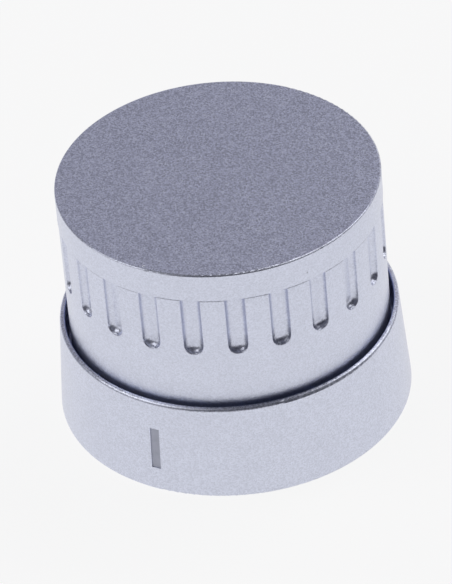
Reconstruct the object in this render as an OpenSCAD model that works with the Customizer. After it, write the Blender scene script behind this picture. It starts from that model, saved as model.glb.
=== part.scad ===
// Oven control knob: a grooved grip with a flat cap, standing in a flared pointer collar.
// Millimetres, +Z up. The origin is on the knob's axis at the foot of the collar, the
// pointer mark faces -Y, and the appliance's shaft enters from below.

/* [Grip] */
// Outside diameter of the grip sleeve
sleeve_d = 37.8; // [36:0.2:42]
// Height of the grip sleeve, from its seat on the collar's web to the joint with the cap
sleeve_h = 19; // [14:0.1:24]
// Wall of the grip sleeve
sleeve_wall = 2; // [1.6:0.1:2.6]
// Number of grip grooves
groove_count = 23; // [12:1:30]
// Width of a groove at the sleeve's surface
groove_w = 2.25; // [2:0.05:2.8]
// Depth of a groove, and the radius that rounds its floor into its sides and lower end
groove_depth = 0.75; // [0.4:0.05:0.95]
// Length of a groove, from the sleeve's top to its lower end
groove_len = 7.7; // [4:0.1:11]

/* [Cap] */
// How far the cap stands proud of the sleeve
cap_lip = 0.08; // [0.04:0.02:0.3]
// Height of the cap's side above the joint
cap_h = 3.7; // [2.6:0.1:6]
// Thickness of the cap's flat top
cap_top = 1.8; // [1.2:0.1:2.4]
// Radius on the cap's upper edge
cap_edge_r = 0.2; // [0.1:0.05:0.8]
// Radius on the two outer edges that meet at the joint
joint_edge_r = 0.08; // [0.05:0.01:0.3]
// Depth of the spigot that centres the cap in the sleeve
spigot_h = 2.6; // [1.5:0.1:4]
// Wall of the spigot
spigot_wall = 1.4; // [1:0.1:2]
// Number of ribs under the cap
rib_count = 6; // [3:1:10]
// Thickness of a rib under the cap
rib_t = 1.1; // [0.8:0.1:1.6]

/* [Collar] */
// Height of the collar
collar_h = 12.3; // [10:0.1:16]
// Radial gap between the collar's rim and the sleeve
rim_gap = 0.5; // [0.3:0.05:0.9]
// Wall of the collar at its rim
rim_wall = 0.6; // [0.5:0.05:0.75]
// How far the foot stands out past the rim
foot_flare = 0.85; // [0.3:0.05:3]
// Radius on the rim's outer edge
rim_edge_r = 0.45; // [0.2:0.05:0.45]
// Wall of the collar at its foot
foot_wall = 1.5; // [1.2:0.1:2]
// Height of the web's underside above the foot
web_z = 6.6; // [5.6:0.1:7.4]
// Thickness of the web that carries the sleeve
web_t = 1.6; // [1.2:0.1:2]
// Inside diameter of the web
web_bore_d = 28; // [20:0.5:30]

/* [Pointer mark] */
// Width of the pointer mark
mark_w = 1.15; // [0.6:0.05:2]
// Length of the pointer mark
mark_len = 5.5; // [3:0.1:7]
// Height of the mark's lower end above the foot
mark_z = 3.1; // [1:0.1:5]
// Depth of the recess that takes the mark
mark_recess = 0.35; // [0.25:0.05:0.5]
// Thickness of the paint that fills the recess
mark_fill = 0.25; // [0.1:0.05:0.3]

/* [Hub] */
// Diameter of the appliance's shaft
shaft_d = 6; // [5:0.5:7]
// Thickness of the shaft across its flat
shaft_flat = 4.6; // [3.5:0.1:4.8]
// Radial clearance round the shaft
shaft_clear = 0.04; // [0.02:0.01:0.07]
// Radial clearance in the socket's round entry
entry_clear = 0.2; // [0.1:0.01:0.3]
// Depth of the round entry of the socket
entry_depth = 5; // [3:0.5:7]
// Depth of the whole socket
socket_depth = 16; // [12:0.5:18]
// Thickness of the hub above the socket
hub_end = 1.6; // [1:0.1:2.5]
// Outside diameter of the hub's stem
stem_d = 10.4; // [10:0.1:12]
// Height of the socket's mouth above the foot
mouth_z = 1; // [0.5:0.1:1.6]
// How far the hub's flange reaches past its lugs
flange_margin = 0.3; // [0.1:0.1:0.6]
// Thickness of the hub's flange
flange_t = 1.6; // [1.2:0.1:2]
// Number of driving lugs on the flange
lug_count = 3; // [2:1:6]
// Width of a driving lug
lug_w = 3; // [2:0.1:4]
// Radial thickness of a driving lug
lug_t = 1.3; // [0.9:0.1:1.5]
// How far a lug reaches into the sleeve
lug_reach = 2; // [1:0.1:3]
// Wall of the boss that holds the stem
boss_wall = 1.7; // [1.2:0.1:2.4]
// Height of the snap bead above the hub's flange
bead_z = 5.4; // [3:0.1:7]
// Radial height of the snap bead
bead_h = 0.3; // [0.2:0.05:0.4]
// Clearance between parts that are pushed together
fit_clear = 0.1; // [0.06:0.01:0.14]

/* [Spring band] */
// Thickness of the spring band
band_t = 0.5; // [0.3:0.05:0.6]
// Height of the spring band
band_w = 2; // [1.2:0.1:2.4]
// Width of the gap in the spring band
band_gap = 2.6; // [1.6:0.1:4]
// Height of the band above the socket's mouth
band_z = 1; // [0.6:0.1:1.2]
// Depth of the band's groove in the stem
band_groove = 0.35; // [0.2:0.05:0.5]
// Width of the slits that let the socket close on the shaft
slit_w = 1.1; // [0.6:0.1:1.6]

/* [Hidden] */

round_fn = 144;
silver = [0.79, 0.80, 0.86];
mark_grey = [0.57, 0.58, 0.65];
hub_black = [0.10, 0.10, 0.11];
spring_steel = [0.72, 0.72, 0.70];

// Overlap of cutters with the faces that they open
cut = 1;
// Radius on small moulded edges
small_r = 0.15;

// Heights
web_top = web_z + web_t;
joint_z = web_top + sleeve_h;
cap_z = joint_z + cap_h;
flange_z = web_z - flange_t;
socket_top = mouth_z + socket_depth;
hub_top = socket_top + hub_end;

// Radii
sleeve_r = sleeve_d / 2;
sleeve_in_r = sleeve_r - sleeve_wall;
cap_r = sleeve_r + cap_lip;
spigot_r = sleeve_in_r - fit_clear;
rim_in_r = sleeve_r + rim_gap;
rim_r = rim_in_r + rim_wall;
foot_r = rim_r + foot_flare;
stem_r = stem_d / 2;
boss_in_r = stem_r + fit_clear;
boss_r = boss_in_r + boss_wall;
bore_r = shaft_d / 2 + shaft_clear;
entry_r = shaft_d / 2 + entry_clear;
lead_in_r = entry_r + 0.4;
flat_y = shaft_flat - shaft_d / 2 + shaft_clear;

// A groove is cut by a ball of the groove's depth as radius, with its centre on the sleeve's
// surface: it goes down one side, across the lower end and up the other side
groove_half = groove_w / 2 - groove_depth;
groove_end_z = joint_z - groove_len + groove_depth;

// Driving lugs bite into the sleeve's inner half
lug_bite = 1;
lug_out_r = sleeve_in_r + lug_bite;
lug_in_r = lug_out_r - lug_t;
flange_r = lug_out_r + flange_margin;

// Keys that stop the cap from turning in the sleeve
key_count = 3;
key_w = 2;
key_t = 0.7;

// The pointer mark and the first groove face -Y, the first lug and the first key face +Y
front = -90;
back = 90;

// The collar's inner wall leans out slightly towards its open ends
draft = 0.15;

// Outside radius of the collar at a height
function collar_r(z) = foot_r + (rim_r - foot_r) * z / collar_h;

// Area outside a circle of radius r that rounds the corner towards [sx, sy]
module corner(x, y, r, sx, sy) {
    translate([x - sx * r, y - sy * r])
        difference() {
            translate([sx > 0 ? 0 : -r - cut, sy > 0 ? 0 : -r - cut])
                square(r + cut);
            circle(r, $fn = round_fn);
        }
}

// Copies of a part, evenly spaced round the axis
module ring_of(count, turn = 0) {
    for (i = [0 : count - 1])
        rotate(turn + i * 360 / count)
            children();
}

// Upright section of the cutter: a rod with a ball end, or its outer half
module groove_section(half) {
    rod_h = joint_z - groove_end_z + cut;
    difference() {
        union() {
            circle(groove_depth, $fn = round_fn);
            translate([-groove_depth, 0])
                square([2 * groove_depth, rod_h]);
        }
        if (half)
            translate([-2 * groove_depth, -2 * groove_depth])
                square([2 * groove_depth, rod_h + 3 * groove_depth]);
    }
}

// Two half rods with ball ends, and the flat floor between them
module groove_cutter() {
    translate([sleeve_r, 0, groove_end_z]) {
        translate([0, groove_half, 0])
            rotate_extrude(angle = 180, $fn = round_fn)
                groove_section(true);
        translate([0, -groove_half, 0])
            rotate(180)
                rotate_extrude(angle = 180, $fn = round_fn)
                    groove_section(true);
        rotate([90, 0, 0])
            translate([0, 0, -groove_half])
                linear_extrude(2 * groove_half)
                    groove_section(false);
    }
}

// Box that reaches from the inner radius to the outer one, centred on +X
module radial_box(r0, r1, w, z0, z1) {
    translate([r0, -w / 2, z0])
        cube([r1 - r0, w, z1 - z0]);
}

module cap_profile() {
    difference() {
        union() {
            translate([0, cap_z - cap_top])
                square([cap_r, cap_top]);
            translate([spigot_r - spigot_wall, joint_z])
                square([cap_r - spigot_r + spigot_wall, cap_h]);
            translate([spigot_r - spigot_wall, joint_z - spigot_h])
                square([spigot_wall, spigot_h + cap_h]);
            translate([boss_in_r, web_z])
                square([boss_wall, cap_z - web_z]);
        }
        corner(cap_r, cap_z, cap_edge_r, 1, 1);
        corner(cap_r, joint_z, joint_edge_r, 1, -1);
        corner(spigot_r, joint_z - spigot_h, small_r * 2, 1, -1);
    }
    polygon([
        [boss_in_r, web_z + bead_z - 2 * bead_h],
        [boss_in_r - bead_h, web_z + bead_z],
        [boss_in_r, web_z + bead_z + 2 * bead_h]
    ]);
}

// Rib from the boss to the spigot, deeper at the boss
module cap_rib() {
    rib_in = boss_r - boss_wall / 2;
    rib_out = spigot_r - spigot_wall / 2;
    rotate([90, 0, 0])
        translate([0, 0, -rib_t / 2])
            linear_extrude(rib_t)
                polygon([
                    [rib_in, hub_top],
                    [rib_out, joint_z - spigot_h],
                    [rib_out, cap_z - cap_top / 2],
                    [rib_in, cap_z - cap_top / 2]
                ]);
}

module top_cap() {
    color(silver) {
        rotate_extrude($fn = round_fn)
            cap_profile();
        ring_of(rib_count)
            cap_rib();
        ring_of(key_count, back)
            radial_box(spigot_r - spigot_wall / 2, sleeve_in_r + key_t, key_w, joint_z - spigot_h, joint_z + cap_h / 2);
    }
}

module grip_sleeve() {
    color(silver)
        difference() {
            rotate_extrude($fn = round_fn)
                difference() {
                    translate([sleeve_in_r, web_top])
                        square([sleeve_wall, sleeve_h]);
                    corner(sleeve_r, web_top, small_r, 1, -1);
                    corner(sleeve_r, joint_z, joint_edge_r, 1, 1);
                }
            ring_of(groove_count, front)
                groove_cutter();
            ring_of(key_count, back)
                radial_box(
                    sleeve_in_r - cut, sleeve_in_r + key_t + fit_clear, key_w + 2 * fit_clear,
                    joint_z - spigot_h - fit_clear, joint_z + cut
                );
            ring_of(lug_count, back)
                radial_box(
                    sleeve_in_r - cut, lug_out_r + fit_clear, lug_w + 2 * fit_clear,
                    web_top - cut, web_top + lug_reach + fit_clear
                );
        }
}

module collar_profile() {
    difference() {
        polygon([
            [foot_r - foot_wall, 0],
            [foot_r, 0],
            [rim_r, collar_h],
            [rim_in_r, collar_h],
            [rim_in_r - draft, web_top],
            [web_bore_d / 2, web_top],
            [web_bore_d / 2, web_z],
            [foot_r - foot_wall - draft, web_z]
        ]);
        corner(collar_r(collar_h - rim_edge_r), collar_h, rim_edge_r, 1, 1);
        corner(rim_in_r, collar_h, small_r, -1, 1);
        corner(collar_r(2 * small_r), 0, 2 * small_r, 1, -1);
    }
}

// Slab of the collar's wall between two depths below its outer face
module wall_slab(depth0, depth1) {
    rotate_extrude($fn = round_fn)
        polygon([
            [collar_r(mark_z) - depth1, mark_z],
            [collar_r(mark_z) - depth0, mark_z],
            [collar_r(mark_z + mark_len) - depth0, mark_z + mark_len],
            [collar_r(mark_z + mark_len) - depth1, mark_z + mark_len]
        ]);
}

// The part of a slab that the mark covers, on the -Y side
module mark_slab(depth0, depth1) {
    intersection() {
        wall_slab(depth0, depth1);
        translate([-mark_w / 2, -foot_r - cut, 0])
            cube([mark_w, foot_r, collar_h]);
    }
}

module pointer_collar() {
    color(silver)
        difference() {
            rotate_extrude($fn = round_fn)
                collar_profile();
            mark_slab(-cut, mark_recess);
            ring_of(lug_count, back)
                radial_box(
                    lug_in_r - fit_clear, lug_out_r + fit_clear, lug_w + 2 * fit_clear,
                    web_z - cut, web_top + cut
                );
        }
}

module pointer_mark() {
    color(mark_grey)
        mark_slab(mark_recess - mark_fill, mark_recess);
}

module hub_profile() {
    groove_x = boss_in_r - bead_h - fit_clear;
    band_x = stem_r - band_groove;
    difference() {
        union() {
            translate([0, mouth_z])
                square([stem_r, hub_top - mouth_z]);
            translate([0, flange_z])
                square([flange_r, flange_t]);
        }
        polygon([
            [stem_r + cut, web_z + bead_z - 2 * bead_h - fit_clear - cut],
            [stem_r, web_z + bead_z - 2 * bead_h - fit_clear],
            [groove_x, web_z + bead_z],
            [stem_r, web_z + bead_z + 2 * bead_h + fit_clear],
            [stem_r + cut, web_z + bead_z + 2 * bead_h + fit_clear + cut]
        ]);
        translate([band_x, mouth_z + band_z])
            square([band_groove + cut, band_w]);
        corner(stem_r, hub_top, 3 * small_r, 1, 1);
        corner(stem_r, mouth_z, small_r, 1, -1);
    }
}

// Socket for a shaft with one flat: a round entry, then the flat on the +Y side
module shaft_socket() {
    difference() {
        translate([0, 0, mouth_z + entry_depth - cut])
            cylinder(r = bore_r, h = socket_depth - entry_depth + cut, $fn = round_fn);
        translate([-bore_r - cut, flat_y, mouth_z + entry_depth])
            cube([2 * (bore_r + cut), bore_r, socket_depth]);
    }
    translate([0, 0, mouth_z - cut])
        cylinder(r = entry_r, h = entry_depth + cut, $fn = round_fn);
    translate([0, 0, mouth_z])
        cylinder(r1 = lead_in_r, r2 = entry_r, h = lead_in_r - entry_r, $fn = round_fn);
}

module shaft_hub() {
    color(hub_black) {
        difference() {
            rotate_extrude($fn = round_fn)
                hub_profile();
            shaft_socket();
            ring_of(2)
                radial_box(0, stem_r + cut, slit_w, mouth_z - cut, flange_z);
        }
        ring_of(lug_count, back)
            radial_box(lug_in_r, lug_out_r, lug_w, flange_z + flange_t / 2, web_top + lug_reach);
    }
}

module spring_band() {
    band_in_r = stem_r - band_groove + fit_clear / 2;
    color(spring_steel)
        difference() {
            rotate_extrude($fn = round_fn)
                translate([band_in_r, mouth_z + band_z])
                    square([band_t, band_w]);
            translate([-band_gap / 2, 0, 0])
                cube([band_gap, stem_r + band_t + cut, flange_z]);
        }
}

top_cap();
grip_sleeve();
pointer_collar();
pointer_mark();
shaft_hub();
spring_band();
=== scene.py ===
"""Oven knob: a grooved grip under a flat cap, standing in a flared pointer collar.

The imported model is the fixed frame. This script gives every part its finish, replaces the
grip sleeve and the pointer mark with finer surfaces, and sets the knob on a pale studio floor
in front of a long lens.
"""

import math

import bpy
import numpy as np
from bpy.props import FloatProperty, FloatVectorProperty, IntProperty, PointerProperty
from mathutils import Matrix, Vector


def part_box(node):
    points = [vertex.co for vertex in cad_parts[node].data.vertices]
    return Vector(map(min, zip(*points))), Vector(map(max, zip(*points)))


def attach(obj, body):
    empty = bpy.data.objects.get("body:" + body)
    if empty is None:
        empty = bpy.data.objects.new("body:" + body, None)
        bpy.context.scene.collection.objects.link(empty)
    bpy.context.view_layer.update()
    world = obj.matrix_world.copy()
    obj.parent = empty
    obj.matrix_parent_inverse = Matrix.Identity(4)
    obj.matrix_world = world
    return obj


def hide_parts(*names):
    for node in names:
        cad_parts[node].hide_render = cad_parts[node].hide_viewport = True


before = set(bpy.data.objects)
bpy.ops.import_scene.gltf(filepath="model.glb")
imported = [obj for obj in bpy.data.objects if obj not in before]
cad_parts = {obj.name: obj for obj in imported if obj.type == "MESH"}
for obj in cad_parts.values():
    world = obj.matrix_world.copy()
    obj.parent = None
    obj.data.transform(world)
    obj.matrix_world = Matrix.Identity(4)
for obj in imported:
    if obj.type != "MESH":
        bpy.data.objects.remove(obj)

bl_info = {
    "name": "Oven Knob",
    "version": (1, 0, 0),
    "blender": (4, 5, 0),
    "location": "View3D > Sidebar > Knob",
    "description": "Gives a grooved oven knob its lacquer, grip and pointer mark, and lights it",
    "category": "Add Mesh",
}

MM = 0.001
FRONT = math.radians(-90)
BACK = math.radians(90)
BODY = "root"
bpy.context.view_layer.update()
SLEEVE_LOW, SLEEVE_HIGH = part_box("grip_sleeve")
MARK_LOW, MARK_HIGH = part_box("pointer_mark")
COLLAR_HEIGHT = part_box("pointer_collar")[1].z

# Fineness of the meshes, as numbers of points
EDGE_POINTS = 6  # on a rounded edge of the sleeve
CORNER_POINTS = 19  # on the quarter circle that runs a groove's side into its floor
RIM_POINTS = 4  # on the wall, up to a groove's rim
PANEL_POINTS = 8  # across the panel between two grooves
PLAIN_POINTS = 6  # up the plain wall under the grooves
FLUTE_POINTS = 5  # up the straight stretch of the grooves
MARK_COLUMNS = 25  # across the pointer mark
MARK_ROWS = 61  # along the pointer mark
FLOOR_POINTS = 64  # round the floor

RIM_REACH = 1.5  # how far the close grid goes past a groove's rim, in roundings of the rim
SLIVER = 0.01 * MM  # height of the slope that stands for a step in the sleeve's inner wall
HALVINGS = 30  # of the interval that holds the grip's radius
SHARP_EDGE = math.radians(40)  # an edge that turns more than this isn't smoothed
FLOOR_RADIUS = 6.0  # metres

# Places of the colour sockets among a Mix node's inputs and outputs
MIX_FIRST, MIX_SECOND, MIX_RESULT = 6, 7, 2


# ---------------------------------------------------------------- settings


class GripSizes(bpy.types.PropertyGroup):
    """Sizes of the grooved grip that the frame's boxes don't give."""

    groove_count: IntProperty(
        name="Grooves",
        description="Number of grooves round the grip",
        default=23,
        min=3,
    )
    groove_width: FloatProperty(
        name="Groove width",
        description="Width at the wall",
        default=2.25 * MM,
        unit="LENGTH",
        precision=5,
    )
    groove_depth: FloatProperty(
        name="Groove depth",
        description="Depth, and radius along the bottom",
        default=0.75 * MM,
        unit="LENGTH",
        precision=5,
    )
    groove_length: FloatProperty(
        name="Groove length",
        description="From the grip's top to the lower end",
        default=7.7 * MM,
        unit="LENGTH",
    )
    groove_rim: FloatProperty(
        name="Groove rim",
        description="Rounding where wall and groove meet",
        default=0.12 * MM,
        unit="LENGTH",
        precision=6,
    )
    wall: FloatProperty(
        name="Wall",
        description="Thickness of the sleeve",
        default=2.0 * MM,
        unit="LENGTH",
    )
    foot_edge: FloatProperty(
        name="Foot edge",
        description="Radius on the lower outer edge",
        default=0.15 * MM,
        unit="LENGTH",
        precision=5,
    )
    top_edge: FloatProperty(
        name="Top edge",
        description="Radius on the upper outer edge",
        default=0.08 * MM,
        unit="LENGTH",
        precision=6,
    )
    key_count: IntProperty(
        name="Keys",
        description="Notches for the cap's keys and for the hub's lugs",
        default=3,
        min=1,
    )
    key_width: FloatProperty(
        name="Key notch width",
        description="Width of a notch for one of the cap's keys",
        default=2.2 * MM,
        unit="LENGTH",
    )
    key_height: FloatProperty(
        name="Key notch height",
        description="Height of a key's notch, from the sleeve's top",
        default=2.7 * MM,
        unit="LENGTH",
    )
    key_depth: FloatProperty(
        name="Key notch depth",
        description="How far a key's notch goes into the wall",
        default=0.8 * MM,
        unit="LENGTH",
    )
    lug_width: FloatProperty(
        name="Lug notch width",
        description="Width of a notch for one of the hub's lugs",
        default=3.2 * MM,
        unit="LENGTH",
    )
    lug_height: FloatProperty(
        name="Lug notch height",
        description="Height of a lug's notch, from the sleeve's foot",
        default=2.1 * MM,
        unit="LENGTH",
    )
    lug_depth: FloatProperty(
        name="Lug notch depth",
        description="How far a lug's notch goes into the wall",
        default=1.1 * MM,
        unit="LENGTH",
    )


class MarkSizes(bpy.types.PropertyGroup):
    """Form of the paint that fills the pointer recess."""

    fill: FloatProperty(
        name="Fill",
        description="Thickness of the paint",
        default=0.25 * MM,
        unit="LENGTH",
        precision=5,
    )
    sag: FloatProperty(
        name="Sag",
        description="How far the paint's middle sinks",
        default=0.03 * MM,
        unit="LENGTH",
        precision=6,
    )
    flare: FloatProperty(
        name="Flare",
        description="How far the collar's foot stands out past its rim",
        default=0.85 * MM,
        unit="LENGTH",
        precision=5,
    )


class LacquerLook(bpy.types.PropertyGroup):
    """Colours and grain of the silver lacquer and the other finishes."""

    silver: FloatVectorProperty(
        name="Silver",
        description="Body colour of the lacquer",
        default=(0.67, 0.695, 0.81),
        subtype="COLOR",
    )
    pointer: FloatVectorProperty(
        name="Pointer",
        description="Paint of the pointer mark",
        default=(0.46, 0.475, 0.56),
        subtype="COLOR",
    )
    # Painted shade: blue-grey colour that the lacquer takes inside the gap round the grip.
    gap_shade: FloatVectorProperty(
        name="Ground",
        description="Thin ground coat inside the gap",
        default=(0.52, 0.60, 0.88),
        subtype="COLOR",
    )
    nib: FloatVectorProperty(
        name="Nib",
        description="Place of a nib of paint on the cap's edge",
        default=(-0.00033, -0.01831, 0.0309),
        subtype="XYZ",
    )
    nib_radius: FloatProperty(
        name="Nib radius",
        description="Radius of the nib",
        default=0.14 * MM,
        unit="LENGTH",
        precision=5,
    )
    nib_rise: FloatProperty(
        name="Nib rise",
        description="How far the nib stands out",
        default=0.11 * MM,
        unit="LENGTH",
        precision=5,
    )
    dust: FloatVectorProperty(
        name="Dust",
        description="Place of a dust speck on the cap's side",
        default=(0.01609, -0.00992, 0.0284),
        subtype="XYZ",
    )
    dust_radius: FloatProperty(
        name="Dust radius",
        description="Radius of the dust speck",
        default=0.10 * MM,
        unit="LENGTH",
        precision=5,
    )
    # Painted shade: the lacquer is darkened in a thin line just under the joint with the cap.
    seam_width: FloatProperty(
        name="Seam width",
        description="Width of the shaded line under the joint with the cap",
        default=0.12 * MM,
        unit="LENGTH",
        precision=5,
    )
    seam_shade: FloatProperty(
        name="Seam shade",
        description="Share of its brightness that the lacquer keeps in the seam's line",
        default=0.72,
        min=0,
        max=1,
    )
    # Reach of the gap's painted shade onto the collar.
    gap_shade_reach: FloatProperty(
        name="Ground reach",
        description="How far outside the grip the ground coat goes, on the collar",
        default=0.6 * MM,
        unit="LENGTH",
        precision=5,
    )
    black: FloatVectorProperty(
        name="Black",
        description="Heat-resistant moulding of the hub",
        default=(0.022, 0.022, 0.024),
        subtype="COLOR",
    )
    steel: FloatVectorProperty(
        name="Steel",
        description="Rolled spring steel",
        default=(0.56, 0.55, 0.53),
        subtype="COLOR",
    )
    flake_size: FloatProperty(
        name="Flake",
        description="Size of a metal flake in the lacquer",
        default=0.15 * MM,
        unit="LENGTH",
        precision=5,
    )
    flake_contrast: FloatProperty(
        name="Flake contrast",
        description="Spread of brightness between flakes on a wall",
        default=0.085,
        min=0,
        max=1,
    )
    flake_tilt: FloatProperty(
        name="Flake tilt",
        description="Largest lean of a flake, as a slope",
        default=0.06,
        min=0,
        max=1,
    )
    # Painted sparkle: the flakes' spread of brightness is made stronger on faces that point up, where
    # the room's light makes them glint.
    painted_top_sparkle: FloatProperty(
        name="Top grain",
        description="How many times stronger the flakes show on faces that point up",
        default=3.8,
        min=1,
    )
    roughness: FloatProperty(
        name="Roughness",
        description="Mean roughness of the lacquer",
        default=0.36,
        min=0,
        max=1,
    )


class StageSettings(bpy.types.PropertyGroup):
    """Camera and light. Turns are round the knob's axis, and heights are above its foot."""

    azimuth: FloatProperty(
        name="Azimuth",
        description="Direction of the camera, from +X",
        default=math.radians(-60.6),
        subtype="ANGLE",
    )
    elevation: FloatProperty(
        name="Elevation",
        description="Height of the camera as an angle",
        default=math.radians(37.29),
        subtype="ANGLE",
    )
    roll: FloatProperty(
        name="Roll",
        description="Turn of the camera about its line of sight",
        default=math.radians(5.25),
        subtype="ANGLE",
    )
    pan: FloatProperty(
        name="Pan",
        description="Small turn of the line of sight to the left",
        default=math.radians(0.020),
        subtype="ANGLE",
    )
    tilt: FloatProperty(
        name="Tilt",
        description="Small turn of the line of sight upwards",
        default=math.radians(-0.014),
        subtype="ANGLE",
    )
    distance: FloatProperty(
        name="Distance",
        description="From the lens to the aim point",
        default=0.6815,
        unit="LENGTH",
    )
    aim_height: FloatProperty(
        name="Aim height",
        description="Height of the aim point on the axis",
        default=14.235 * MM,
        unit="LENGTH",
    )
    lens: FloatProperty(
        name="Lens",
        description="Focal length in millimetres for a 36 mm long side",
        default=357.86,
        min=1,
    )
    paper: FloatVectorProperty(
        name="Paper",
        description="Colour of the floor",
        default=(0.92, 0.92, 0.925),
        subtype="COLOR",
    )
    glow: FloatProperty(
        name="Glow",
        description="Share of plain white in the floor, as the camera and reflections see it",
        default=0.88,
        min=0,
        max=1,
    )
    lamp_height: FloatProperty(
        name="Lamp height",
        description="Height of both softboxes as an angle",
        default=math.radians(46),
        subtype="ANGLE",
    )
    lamp_distance: FloatProperty(
        name="Lamp distance",
        description="From a softbox to the aim point",
        default=1.2,
        unit="LENGTH",
    )
    lamp_size: FloatProperty(
        name="Lamp size",
        description="Side of a softbox",
        default=0.9,
        unit="LENGTH",
    )
    left_turn: FloatProperty(
        name="Left turn",
        description="Angle of the left softbox from the camera, to the right",
        default=math.radians(-78),
        subtype="ANGLE",
    )
    left_power: FloatProperty(
        name="Left power",
        description="Power of the left softbox in watts",
        default=4.3,
        min=0,
    )
    right_turn: FloatProperty(
        name="Right turn",
        description="Angle of the right softbox from the camera, to the right",
        default=math.radians(120),
        subtype="ANGLE",
    )
    right_power: FloatProperty(
        name="Right power",
        description="Power of the right softbox in watts",
        default=4.0,
        min=0,
    )
    dusk: FloatVectorProperty(
        name="Dusk",
        description="Colour of the room behind the knob",
        default=(0.39, 0.388, 0.46),
        subtype="COLOR",
    )
    shade: FloatVectorProperty(
        name="Shade",
        description="Colour of the room in front and overhead",
        default=(0.06, 0.06, 0.075),
        subtype="COLOR",
    )


# ---------------------------------------------------------------- meshes


def mesh_from_grid(name, points, closed_across=True, closed_along=True):
    """Object whose faces join a grid of points, rows by columns, as quads.

    Point (i, j) joins (i, j + 1), (i + 1, j + 1) and (i + 1, j). Where a direction is closed
    its last line joins its first."""
    rows, columns = points.shape[:2]
    i = np.arange(rows if closed_along else rows - 1)[:, None]
    j = np.arange(columns if closed_across else columns - 1)[None, :]
    i_next = (i + 1) % rows
    j_next = (j + 1) % columns
    row, row_next = i * columns, i_next * columns
    quads = np.stack([row + j, row + j_next, row_next + j_next, row_next + j], axis=-1).reshape(-1, 4)
    mesh = bpy.data.meshes.new(name)
    mesh.vertices.add(rows * columns)
    mesh.vertices.foreach_set("co", points.reshape(-1).astype(np.float32))
    mesh.loops.add(quads.size)
    mesh.loops.foreach_set("vertex_index", quads.reshape(-1).astype(np.int32))
    mesh.polygons.add(len(quads))
    mesh.polygons.foreach_set("loop_start", np.arange(0, quads.size, 4, dtype=np.int32))
    mesh.update(calc_edges=True)
    mesh.validate()
    mesh.shade_smooth()
    mesh.set_sharp_from_angle(angle=SHARP_EDGE)
    piece = bpy.data.objects.new(name, mesh)
    bpy.context.scene.collection.objects.link(piece)
    return piece


def smooth_max(a, b, width):
    """The larger of two distances, with a parabola of the given width where they cross."""
    overlap = np.maximum(width - np.abs(a - b), 0)
    return np.maximum(a, b) + overlap**2 / (4 * width)


def near_angle(angle, count, turn):
    """Angle from the nearest of count equal divisions of the circle, the first of them at turn."""
    pitch = 2 * np.pi / count
    return (angle - turn + pitch / 2) % pitch - pitch / 2


def grip_radius(angle, height, sizes):
    """Outer radius of the grip at each angle and height.

    A groove is a slot with a half-round lower end: its outline is half its width away from a
    centre line that stops above the end. Its floor runs into its sides by a quarter circle as
    high as the groove is deep. The sleeve's solid differs in its squarer lower ends and sharp
    rims. The wall is where the larger of two distances is nought: the distance outside the
    plain cylinder, and the distance inside the nearest groove. A smooth maximum of the two
    rounds the groove's rim. The radius is found for all points at once, by halving the
    interval that holds it."""
    outer = SLEEVE_HIGH.x
    corner = sizes.groove_depth
    half = sizes.groove_width / 2
    end = SLEEVE_HIGH.z - sizes.groove_length + half
    local = near_angle(angle, sizes.groove_count, FRONT)
    below = np.maximum(end - height, 0)
    low = np.full(np.broadcast(angle, height).shape, outer - 1.5 * corner)
    high = np.full(low.shape, outer + sizes.groove_rim)
    for _ in range(HALVINGS):
        middle = (low + high) / 2
        across = np.hypot(middle * np.sin(local), below)
        past_floor = np.maximum(across - half + corner, 0)
        deep = np.minimum(middle * np.cos(local) - outer, 0)
        inside_groove = corner - np.hypot(past_floor, deep)
        outside = smooth_max(middle - outer, inside_groove, sizes.groove_rim) > 0
        high = np.where(outside, middle, high)
        low = np.where(outside, low, middle)
    return (low + high) / 2


def rim_steps(sizes):
    """Distances inward from a groove's rim at which the grid has a line.

    The first few lie outside the rim. The others are the depth times one less the sine of even
    angles on the quarter circle, so they lie closest together at the rim."""
    outside = -RIM_REACH * sizes.groove_rim * np.linspace(1, 0, RIM_POINTS)[:-1]
    corner = np.linspace(math.pi / 2, 0, CORNER_POINTS)
    return np.concatenate([outside, sizes.groove_depth * (1 - np.sin(corner))])


def grip_columns(sizes):
    """Angles of the grid's columns: the same set in each pitch, closest at a groove's rims."""
    pitch = 2 * math.pi / sizes.groove_count
    half = sizes.groove_width / 2
    side = (half - rim_steps(sizes)) / SLEEVE_HIGH.x
    panel = np.linspace(side[0], pitch - side[0], PANEL_POINTS)[1:-1]
    one = np.concatenate([-side, [0.0], side[::-1], panel])
    starts = FRONT + np.arange(sizes.groove_count)[:, None] * pitch
    return (starts + one[None, :]).reshape(-1)


def notch_depth(angle, height, sizes):
    """Depth of the inner notches, for the cap's keys at the top and the hub's lugs at the foot.

    A point is in a notch where it lies less than half the notch's width from its middle,
    measured round the inner wall, and within its height."""
    inner = SLEEVE_HIGH.x - sizes.wall
    across = np.abs(near_angle(angle, sizes.key_count, BACK) * inner)
    key_cut = (across < sizes.key_width / 2) & (height > SLEEVE_HIGH.z - sizes.key_height)
    lug_cut = (across < sizes.lug_width / 2) & (height < SLEEVE_LOW.z + sizes.lug_height)
    return np.where(key_cut, sizes.key_depth, 0) + np.where(lug_cut, sizes.lug_depth, 0)


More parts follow.
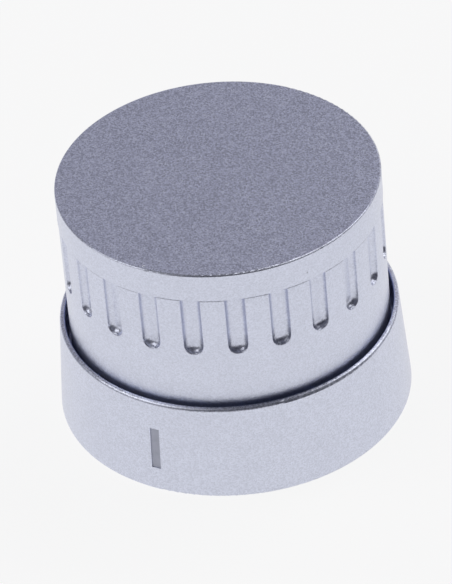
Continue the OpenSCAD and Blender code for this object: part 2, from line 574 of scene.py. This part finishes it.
def grip_points(sizes):
    """Grid of the whole sleeve: one closed outline of its wall at each angle.

    The outline climbs the outer wall, crosses the top and comes down the inner wall. Its outer
    corners are quarter circles, and the rows lie close together along the grooves' round ends.
    A step in the inner wall is two rows a sliver above and below it."""
    low, high = SLEEVE_LOW.z, SLEEVE_HIGH.z
    groove_end = high - sizes.groove_length
    quarter = np.linspace(0, math.pi / 2, EDGE_POINTS)
    foot_inset = sizes.foot_edge * (1 - np.sin(quarter))
    foot_height = low + sizes.foot_edge * (1 - np.cos(quarter))
    past_corner = np.linspace(1.1, 1.5, 4) * sizes.groove_depth
    round_end = groove_end + np.append(rim_steps(sizes), past_corner)
    plain = np.linspace(low + sizes.foot_edge, round_end[0], PLAIN_POINTS)[1:-1]
    flute = np.linspace(round_end[-1], high - sizes.top_edge, FLUTE_POINTS)[1:-1]
    top_inset = sizes.top_edge * (1 - np.cos(quarter))
    top_height = high - sizes.top_edge * (1 - np.sin(quarter))
    wall = np.concatenate([plain, round_end, flute])
    outer_height = np.concatenate([foot_height, wall, top_height])
    outer_inset = np.concatenate([foot_inset, np.zeros(len(wall)), top_inset])
    key_foot = high - sizes.key_height
    lug_top = low + sizes.lug_height
    steps = [key_foot + SLIVER, key_foot - SLIVER, lug_top + SLIVER, lug_top - SLIVER]
    inner_height = np.array([high, *steps, low])
    angle = grip_columns(sizes)[None, :]
    outer = grip_radius(angle, outer_height[:, None], sizes) - outer_inset[:, None]
    inner = SLEEVE_HIGH.x - sizes.wall + notch_depth(angle, inner_height[:, None], sizes)
    radius = np.concatenate([outer, inner])
    height = np.concatenate([outer_height, inner_height])[:, None]
    return np.stack([radius * np.cos(angle), radius * np.sin(angle), height + 0 * radius], axis=-1)


def mark_points(sizes):
    """Grid of the outer skin of the paint in the pointer recess.

    Two numbers from -1 to 1 run across and along it, closer together at its edges. The skin
    follows the collar's cone, and sinks towards its middle by a product of two parabolas, as
    paint does when it dries."""
    across = np.sin(np.linspace(-1, 1, MARK_COLUMNS) * math.pi / 2)[None, :]
    along = np.sin(np.linspace(-1, 1, MARK_ROWS) * math.pi / 2)[:, None]
    middle = (MARK_LOW + MARK_HIGH) / 2
    half = (MARK_HIGH - MARK_LOW) / 2
    x = middle.x + half.x * across + 0 * along
    z = middle.z + half.z * along + 0 * across
    cone = -MARK_LOW.y - sizes.flare / COLLAR_HEIGHT * (z - MARK_LOW.z)
    radius = cone - sizes.sag * (1 - across**2) * (1 - along**2)
    return np.stack([x, -np.sqrt(radius**2 - x**2), z], axis=-1)


def dress(piece, material, node):
    """Gives a new piece its material and its body, and hides the CAD node that it stands in for."""
    piece.data.materials.append(material)
    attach(piece, BODY)
    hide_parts(node)


def repaint(node, material):
    """Gives a CAD node's object a new material in each of its slots."""
    for material_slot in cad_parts[node].material_slots:
        material_slot.material = material


# ---------------------------------------------------------------- materials


def add_node(tree, kind, **settings):
    """Adds a shader node; a setting names a property of the node, or else an input socket."""
    node = tree.nodes.new(kind)
    for name, value in settings.items():
        if hasattr(node, name):
            setattr(node, name, value)
        else:
            node.inputs[name].default_value = value
    return node


def feed(tree, operand, socket):
    """Links an output socket to an input, or gives the input a fixed value."""
    if isinstance(operand, bpy.types.NodeSocket):
        tree.links.new(operand, socket)
    else:
        socket.default_value = operand


def arithmetic(tree, operation, first, second=0.0):
    """Output of a Math node; each operand is a socket or a number."""
    node = add_node(tree, "ShaderNodeMath", operation=operation)
    feed(tree, first, node.inputs[0])
    feed(tree, second, node.inputs[1])
    return node.outputs[0]


def remap(tree, source, low, high):
    """Stretches a value between 0 and 1 to lie between low and high."""
    return arithmetic(tree, "ADD", arithmetic(tree, "MULTIPLY", source, high - low), low)


def noise(tree, coordinates, grain, detail=3.0):
    """Noise between 0 and 1 whose blobs are about as wide as grain, in metres."""
    node = add_node(tree, "ShaderNodeTexNoise", Scale=1 / grain, Detail=detail)
    tree.links.new(coordinates, node.inputs["Vector"])
    return node.outputs["Fac"]


def flakes(tree, coordinates, size):
    """Three random numbers from 0 to 1 for each metal flake, the same all over the flake."""
    cells = add_node(tree, "ShaderNodeTexVoronoi", Scale=1 / size)
    tree.links.new(coordinates, cells.inputs["Vector"])
    return cells.outputs["Color"]


def tilted(tree, random, tilt):
    """The surface's normal, leaned towards a random side by up to tilt, as a slope."""
    centred = add_node(tree, "ShaderNodeVectorMath", operation="SUBTRACT")
    tree.links.new(random, centred.inputs[0])
    centred.inputs[1].default_value = (0.5, 0.5, 0.5)
    leaned = add_node(tree, "ShaderNodeVectorMath", operation="MULTIPLY_ADD")
    tree.links.new(centred.outputs[0], leaned.inputs[0])
    leaned.inputs[1].default_value = (2 * tilt, 2 * tilt, 2 * tilt)
    tree.links.new(add_node(tree, "ShaderNodeNewGeometry").outputs["Normal"], leaned.inputs[2])
    unit = add_node(tree, "ShaderNodeVectorMath", operation="NORMALIZE")
    tree.links.new(leaned.outputs[0], unit.inputs[0])
    return unit.outputs[0]


def parts_of(tree, vector):
    """X, Y and Z of a vector socket."""
    split = add_node(tree, "ShaderNodeSeparateXYZ")
    tree.links.new(vector, split.inputs[0])
    return split.outputs


def upward(tree):
    """How far the surface faces up: 1 on a level top, 0 on a wall and below."""
    normal = add_node(tree, "ShaderNodeNewGeometry").outputs["Normal"]
    return arithmetic(tree, "MAXIMUM", parts_of(tree, normal)[2], 0.0)


def radius_of(tree, coordinates):
    """Distance from the knob's axis."""
    x, y, _ = parts_of(tree, coordinates)
    x_squared = arithmetic(tree, "POWER", x, 2.0)
    y_squared = arithmetic(tree, "POWER", y, 2.0)
    return arithmetic(tree, "SQRT", arithmetic(tree, "ADD", x_squared, y_squared))


def spot(tree, coordinates, centre, radius):
    """1 inside a small ball and 0 outside it, fading from half its radius to one and a half."""
    distance = add_node(tree, "ShaderNodeVectorMath", operation="DISTANCE")
    tree.links.new(coordinates, distance.inputs[0])
    distance.inputs[1].default_value = centre
    edge = arithmetic(tree, "DIVIDE", distance.outputs["Value"], radius)
    fade = arithmetic(tree, "SUBTRACT", 1.5, edge)
    return arithmetic(tree, "MINIMUM", arithmetic(tree, "MAXIMUM", fade, 0.0), 1.0)


def scaled_colour(tree, colour, factor):
    """A colour, fixed or from a socket, multiplied by a factor socket."""
    node = add_node(tree, "ShaderNodeVectorMath", operation="SCALE")
    feed(tree, colour, node.inputs[0])
    tree.links.new(factor, node.inputs["Scale"])
    return node.outputs[0]


def bump(tree, height, depth, below=None):
    """Bump of a height from 0 to 1 over a depth in metres, on top of another bump."""
    node = add_node(tree, "ShaderNodeBump", Strength=1.0, Distance=depth)
    tree.links.new(height, node.inputs["Height"])
    if below is not None:
        tree.links.new(below, node.inputs["Normal"])
    return node.outputs[0]


def start_material(name):
    """A new material with its node tree, its main shader and its object coordinates."""
    material = bpy.data.materials.new(name)
    material.use_nodes = True
    tree = material.node_tree
    shader = tree.nodes["Principled BSDF"]
    coordinates = add_node(tree, "ShaderNodeTexCoord").outputs["Object"]
    return material, tree, shader, coordinates


def silver_lacquer(name, look):
    """Silver lacquer on plastic: tilted metal flakes, a soft mottle and a little orange peel.

    The flakes show more on faces that point up, as a painted sparkle that stands in for the glints of
    the room's light there."""
    material, tree, shader, coordinates = start_material(name)
    flake = flakes(tree, coordinates, look.flake_size)
    mottle = noise(tree, coordinates, 5 * MM)
    peel = noise(tree, coordinates, 0.8 * MM, detail=1.0)
    # Painted sparkle: stronger flake contrast on faces that point up.
    stronger = remap(tree, upward(tree), 1.0, look.painted_top_sparkle)
    centred = arithmetic(tree, "SUBTRACT", parts_of(tree, flake)[0], 0.5)
    spread = arithmetic(tree, "MULTIPLY", stronger, 2 * look.flake_contrast)
    brightness = arithmetic(
        tree,
        "MULTIPLY",
        arithmetic(tree, "ADD", arithmetic(tree, "MULTIPLY", centred, spread), 1.0),
        remap(tree, mottle, 0.97, 1.03),
    )
    tree.links.new(scaled_colour(tree, look.silver, brightness), shader.inputs["Base Color"])
    grain = noise(tree, coordinates, 0.3 * MM, detail=2.0)
    tree.links.new(
        remap(tree, grain, look.roughness - 0.05, look.roughness + 0.05), shader.inputs["Roughness"]
    )
    shader.inputs["Metallic"].default_value = 0.92
    shader.inputs["Coat Weight"].default_value = 0.2
    shader.inputs["Coat Roughness"].default_value = 0.35
    leaned = tilted(tree, flake, look.flake_tilt)
    tree.links.new(bump(tree, peel, 0.002 * MM, leaned), shader.inputs["Normal"])
    return material


def darken(material, factor):
    """Multiplies the body colour of a finished material by a factor socket."""
    tree = material.node_tree
    base = tree.nodes["Principled BSDF"].inputs["Base Color"]
    tree.links.new(scaled_colour(tree, base.links[0].from_socket, factor), base)
    return material


def object_coordinates(material):
    """The object coordinates that a finished material already reads."""
    return material.node_tree.nodes["Texture Coordinate"].outputs["Object"]


def grip_lacquer(look):
    """Silver lacquer with a painted shade along the seam under the cap, on top of the panels between
    the grooves.
    """
    material = silver_lacquer("grip_lacquer", look)
    tree, coordinates = material.node_tree, object_coordinates(material)
    height, radius = parts_of(tree, coordinates)[2], radius_of(tree, coordinates)
    # Painted shade: a thin line just under the joint with the cap is darkened to the seam shade.
    high = arithmetic(tree, "GREATER_THAN", height, SLEEVE_HIGH.z - look.seam_width)
    outside = arithmetic(tree, "GREATER_THAN", radius, SLEEVE_HIGH.x - look.seam_width)
    seam = arithmetic(tree, "MULTIPLY", high, outside)
    return darken(material, remap(tree, seam, 1.0, look.seam_shade))


def cap_lacquer(look):
    """Silver lacquer with a nib of paint on the edge, made paler by a painted highlight, and a dark
    speck of dust on the side.
    """
    material = silver_lacquer("cap_lacquer", look)
    tree, coordinates = material.node_tree, object_coordinates(material)
    nib = spot(tree, coordinates, look.nib, look.nib_radius)
    dust = spot(tree, coordinates, look.dust, look.dust_radius)
    normal = tree.nodes["Principled BSDF"].inputs["Normal"]
    tree.links.new(bump(tree, nib, look.nib_rise, normal.links[0].from_socket), normal)
    # Painted highlight: the nib's colour is made lighter, on top of its real bump.
    painted_nib_highlight = remap(tree, nib, 1.0, 1.2)
    darker = remap(tree, dust, 1.0, 0.3)
    return darken(material, arithmetic(tree, "MULTIPLY", painted_nib_highlight, darker))


def collar_lacquer(look):
    """Silver lacquer that turns to a blue-grey painted shade inside the gap round the grip."""
    material = silver_lacquer("collar_lacquer", look)
    tree, coordinates = material.node_tree, object_coordinates(material)
    height, radius = parts_of(tree, coordinates)[2], radius_of(tree, coordinates)
    # Painted shade: near the grip and above the web, the lacquer's colour is swapped for the
    # blue-grey gap shade.
    near_grip = arithmetic(tree, "LESS_THAN", radius, SLEEVE_HIGH.x + look.gap_shade_reach)
    above_web = arithmetic(tree, "GREATER_THAN", height, SLEEVE_LOW.z)
    inside = arithmetic(tree, "MULTIPLY", near_grip, above_web)
    base = tree.nodes["Principled BSDF"].inputs["Base Color"]
    blend = add_node(tree, "ShaderNodeMix", data_type="RGBA")
    tree.links.new(inside, blend.inputs["Factor"])
    tree.links.new(base.links[0].from_socket, blend.inputs[MIX_FIRST])
    blend.inputs[MIX_SECOND].default_value = (*look.gap_shade, 1)
    tree.links.new(blend.outputs[MIX_RESULT], base)
    return material


def pointer_paint(name, look):
    """Satin grey paint with metal in it, a fine tooth and slight unevenness."""
    material, tree, shader, coordinates = start_material(name)
    patch = noise(tree, coordinates, 0.9 * MM)
    tooth = noise(tree, coordinates, 0.12 * MM)
    brightness = remap(tree, patch, 0.86, 1.14)
    tree.links.new(scaled_colour(tree, look.pointer, brightness), shader.inputs["Base Color"])
    tree.links.new(remap(tree, tooth, 0.45, 0.6), shader.inputs["Roughness"])
    shader.inputs["Metallic"].default_value = 0.75
    tree.links.new(bump(tree, tooth, 0.006 * MM), shader.inputs["Normal"])
    return material


def black_moulding(name, look):
    """Black heat-resistant plastic: fine spark-eroded grain with a faint flow pattern."""
    material, tree, shader, coordinates = start_material(name)
    flow = noise(tree, coordinates, 6 * MM)
    grain = noise(tree, coordinates, 0.18 * MM, detail=4.0)
    brightness = remap(tree, flow, 0.8, 1.25)
    tree.links.new(scaled_colour(tree, look.black, brightness), shader.inputs["Base Color"])
    tree.links.new(remap(tree, grain, 0.42, 0.6), shader.inputs["Roughness"])
    tree.links.new(bump(tree, grain, 0.012 * MM), shader.inputs["Normal"])
    return material


def rolled_steel(name, look):
    """Spring steel strip: bright metal with rolling lines that run round the band."""
    material, tree, shader, coordinates = start_material(name)
    stretch = add_node(tree, "ShaderNodeMapping")
    stretch.inputs["Scale"].default_value = (0.03, 0.03, 1.0)
    tree.links.new(coordinates, stretch.inputs["Vector"])
    lines = noise(tree, stretch.outputs[0], 0.05 * MM, detail=2.0)
    tint = noise(tree, coordinates, 2 * MM)
    brightness = arithmetic(
        tree, "MULTIPLY", remap(tree, lines, 0.9, 1.05), remap(tree, tint, 0.94, 1.04)
    )
    tree.links.new(scaled_colour(tree, look.steel, brightness), shader.inputs["Base Color"])
    tree.links.new(remap(tree, lines, 0.24, 0.4), shader.inputs["Roughness"])
    shader.inputs["Metallic"].default_value = 1.0
    tree.links.new(bump(tree, lines, 0.003 * MM), shader.inputs["Normal"])
    return material


def studio_paper(name, colour, glow):
    """White paper that lights the knob, lies white behind it and keeps its shadow.

    Seen by the camera or in a reflection it is a blend of the lit paper and plain white.
    From underneath it is clear, so that the knob's foot can be looked at."""
    material, tree, shader, coordinates = start_material(name)
    fibre = noise(tree, coordinates, 3 * MM)
    brightness = remap(tree, fibre, 0.995, 1.005)
    tree.links.new(scaled_colour(tree, colour, brightness), shader.inputs["Base Color"])
    shader.inputs["Roughness"].default_value = 0.9
    shader.inputs["Specular IOR Level"].default_value = 0.1
    rays = add_node(tree, "ShaderNodeLightPath")
    seen = arithmetic(tree, "ADD", rays.outputs["Is Camera Ray"], rays.outputs["Is Glossy Ray"])
    seen = arithmetic(tree, "ADD", seen, rays.outputs["Is Transmission Ray"])
    share = arithmetic(tree, "MULTIPLY", arithmetic(tree, "MINIMUM", seen, 1.0), glow)
    white = add_node(tree, "ShaderNodeEmission", Strength=1.0)
    backdrop = add_node(tree, "ShaderNodeMixShader")
    tree.links.new(share, backdrop.inputs[0])
    tree.links.new(shader.outputs[0], backdrop.inputs[1])
    tree.links.new(white.outputs[0], backdrop.inputs[2])
    clear = add_node(tree, "ShaderNodeBsdfTransparent")
    one_sided = add_node(tree, "ShaderNodeMixShader")
    underneath = add_node(tree, "ShaderNodeNewGeometry").outputs["Backfacing"]
    tree.links.new(underneath, one_sided.inputs[0])
    tree.links.new(backdrop.outputs[0], one_sided.inputs[1])
    tree.links.new(clear.outputs[0], one_sided.inputs[2])
    tree.links.new(one_sided.outputs[0], tree.nodes["Material Output"].inputs["Surface"])
    return material


# ---------------------------------------------------------------- stage


def camera_axes(stage):
    """Line of sight, right and up of the camera, and where its lens stands.

    The camera looks from the azimuth and elevation at the aim point on the knob's axis. It is
    then turned a little about its up and right axes, and last about its line of sight."""
    side = Matrix.Rotation(stage.azimuth + math.pi / 2, 3, "Z")
    ahead = side @ Vector((0, math.cos(stage.elevation), -math.sin(stage.elevation)))
    right = side @ Vector((1, 0, 0))
    place = Vector((0, 0, stage.aim_height)) - ahead * stage.distance
    panned = Matrix.Rotation(stage.pan, 3, right.cross(ahead))
    ahead, right = panned @ ahead, panned @ right
    ahead = Matrix.Rotation(stage.tilt, 3, right) @ ahead
    right = Matrix.Rotation(stage.roll, 3, ahead) @ right
    return place, ahead, right, right.cross(ahead)


def set_camera(stage):
    """Long lens where camera_axes puts it. The sensor's 36 mm are the picture's longer side."""
    place, ahead, right, up = camera_axes(stage)
    lens = bpy.data.cameras.new("studio_camera")
    lens.lens = stage.lens
    lens.sensor_width = 36
    lens.clip_start, lens.clip_end = 0.05, 20
    camera = bpy.data.objects.new("studio_camera", lens)
    columns = Matrix((right, up, -ahead)).transposed().to_4x4()
    camera.matrix_world = Matrix.Translation(place) @ columns
    bpy.context.scene.collection.objects.link(camera)
    bpy.context.scene.camera = camera


def softbox(name, stage, around, power):
    """Square lamp aimed at the knob. around is its angle from the camera, to the right."""
    angle = stage.azimuth + around
    height = stage.lamp_height
    aim = Vector((0, 0, stage.aim_height))
    away = Vector(
        (math.cos(angle) * math.cos(height), math.sin(angle) * math.cos(height), math.sin(height))
    )
    lamp = bpy.data.lights.new(name, "AREA")
    lamp.shape = "SQUARE"
    lamp.size = stage.lamp_size
    lamp.energy = power
    holder = bpy.data.objects.new(name, lamp)
    holder.location = aim + away * stage.lamp_distance
    holder.rotation_euler = (-away).to_track_quat("-Z", "Y").to_euler()
    bpy.context.scene.collection.objects.link(holder)


def set_room(stage):
    """Room light: dusk behind the knob, as seen from the camera, and shade in front and overhead.

    The blend follows how far a direction leans away from the camera's azimuth, which is
    brought from between -1 and 1 to between 0 and 1."""
    world = bpy.data.worlds.new("studio_room")
    world.use_nodes = True
    tree = world.node_tree
    background = tree.nodes["Background"]
    direction = add_node(tree, "ShaderNodeTexCoord").outputs["Generated"]
    lean = add_node(tree, "ShaderNodeVectorMath", operation="DOT_PRODUCT")
    tree.links.new(direction, lean.inputs[0])
    lean.inputs[1].default_value = (-math.cos(stage.azimuth), -math.sin(stage.azimuth), 0)
    ramp = add_node(tree, "ShaderNodeValToRGB")
    ramp.color_ramp.interpolation = "EASE"
    ramp.color_ramp.elements[0].position = 0.55
    ramp.color_ramp.elements[0].color = (*stage.shade, 1)
    ramp.color_ramp.elements[1].position = 1.0
    ramp.color_ramp.elements[1].color = (*stage.dusk, 1)
    tree.links.new(remap(tree, lean.outputs["Value"], 0.5, 1.0), ramp.inputs[0])
    tree.links.new(ramp.outputs[0], background.inputs["Color"])
    bpy.context.scene.world = world


def floor_points(radius):
    """Round floor, facing up: rings of points about the origin.

    The innermost ring is almost a point, and is left open under the knob."""
    ring = np.array([1.0, 0.5, 0.1, 1e-4])[:, None] * radius
    angle = np.linspace(0, 2 * np.pi, FLOOR_POINTS, endpoint=False)[None, :]
    return np.stack([ring * np.cos(angle), ring * np.sin(angle), 0 * ring * angle], axis=-1)


# ---------------------------------------------------------------- operators


class KNOB_OT_grip(bpy.types.Operator):
    """Builds the grooved grip as one surface in place of the sleeve's solid"""

    bl_idname = "knob.grip"
    bl_label = "Grooved Grip"

    def execute(self, context):
        scene = context.scene
        grip = mesh_from_grid("grip", grip_points(scene.knob_grip))
        dress(grip, grip_lacquer(scene.knob_look), "grip_sleeve")
        return {"FINISHED"}


class KNOB_OT_pointer_paint(bpy.types.Operator):
    """Fills the pointer recess with a thin, slightly sunken coat of paint"""

    bl_idname = "knob.pointer_paint"
    bl_label = "Pointer Paint"

    def execute(self, context):
        scene = context.scene
        paint = mesh_from_grid("pointer_fill", mark_points(scene.knob_mark), False, False)
        coat = paint.modifiers.new("coat", "SOLIDIFY")
        coat.thickness = scene.knob_mark.fill
        coat.offset = -1
        dress(paint, pointer_paint("pointer_paint", scene.knob_look), "pointer_mark")
        return {"FINISHED"}


class KNOB_OT_shells(bpy.types.Operator):
    """Lacquers the cap and the pointer collar"""

    bl_idname = "knob.shells"
    bl_label = "Cap and Collar Finish"

    def execute(self, context):
        look = context.scene.knob_look
        repaint("top_cap", cap_lacquer(look))
        repaint("pointer_collar", collar_lacquer(look))
        return {"FINISHED"}


class KNOB_OT_fixing(bpy.types.Operator):
    """Gives the shaft hub its black moulding finish and the spring band its steel"""

    bl_idname = "knob.fixing"
    bl_label = "Hub and Band Finish"

    def execute(self, context):
        look = context.scene.knob_look
        repaint("shaft_hub", black_moulding("hub_moulding", look))
        repaint("spring_band", rolled_steel("band_steel", look))
        return {"FINISHED"}


class KNOB_OT_stage(bpy.types.Operator):
    """Lays the floor and sets the camera, the lamps and the room"""

    bl_idname = "knob.stage"
    bl_label = "Studio Stage"

    def execute(self, context):
        stage = context.scene.knob_stage
        floor = mesh_from_grid("studio_floor", floor_points(FLOOR_RADIUS), closed_along=False)
        floor.data.materials.append(studio_paper("studio_paper", stage.paper, stage.glow))
        set_camera(stage)
        softbox("left_softbox", stage, stage.left_turn, stage.left_power)
        softbox("right_softbox", stage, stage.right_turn, stage.right_power)
        set_room(stage)
        context.scene.view_settings.view_transform = "Standard"
        return {"FINISHED"}


class KNOB_PT_panel(bpy.types.Panel):
    """Lists the knob's operators and settings in the sidebar"""

    bl_idname = "KNOB_PT_panel"
    bl_label = "Oven Knob"
    bl_space_type = "VIEW_3D"
    bl_region_type = "UI"
    bl_category = "Knob"

    def draw(self, context):
        for group in SETTINGS:
            settings = getattr(context.scene, group)
            box = self.layout.box()
            for name in settings.__annotations__:
                box.prop(settings, name)
        for operator in OPERATORS:
            self.layout.operator(operator.bl_idname)


OPERATORS = (
    KNOB_OT_grip,
    KNOB_OT_pointer_paint,
    KNOB_OT_shells,
    KNOB_OT_fixing,
    KNOB_OT_stage,
)
SETTINGS = {
    "knob_grip": GripSizes,
    "knob_mark": MarkSizes,
    "knob_look": LacquerLook,
    "knob_stage": StageSettings,
}


def register():
    for cls in (*SETTINGS.values(), *OPERATORS, KNOB_PT_panel):
        bpy.utils.register_class(cls)
    for name, cls in SETTINGS.items():
        setattr(bpy.types.Scene, name, PointerProperty(type=cls))


def unregister():
    for name in SETTINGS:
        delattr(bpy.types.Scene, name)
    for cls in (KNOB_PT_panel, *reversed(OPERATORS), *SETTINGS.values()):
        bpy.utils.unregister_class(cls)


def main():
    register()
    bpy.ops.knob.grip()
    bpy.ops.knob.pointer_paint()
    bpy.ops.knob.shells()
    bpy.ops.knob.fixing()
    bpy.ops.knob.stage()


if __name__ == "__main__":
    main()
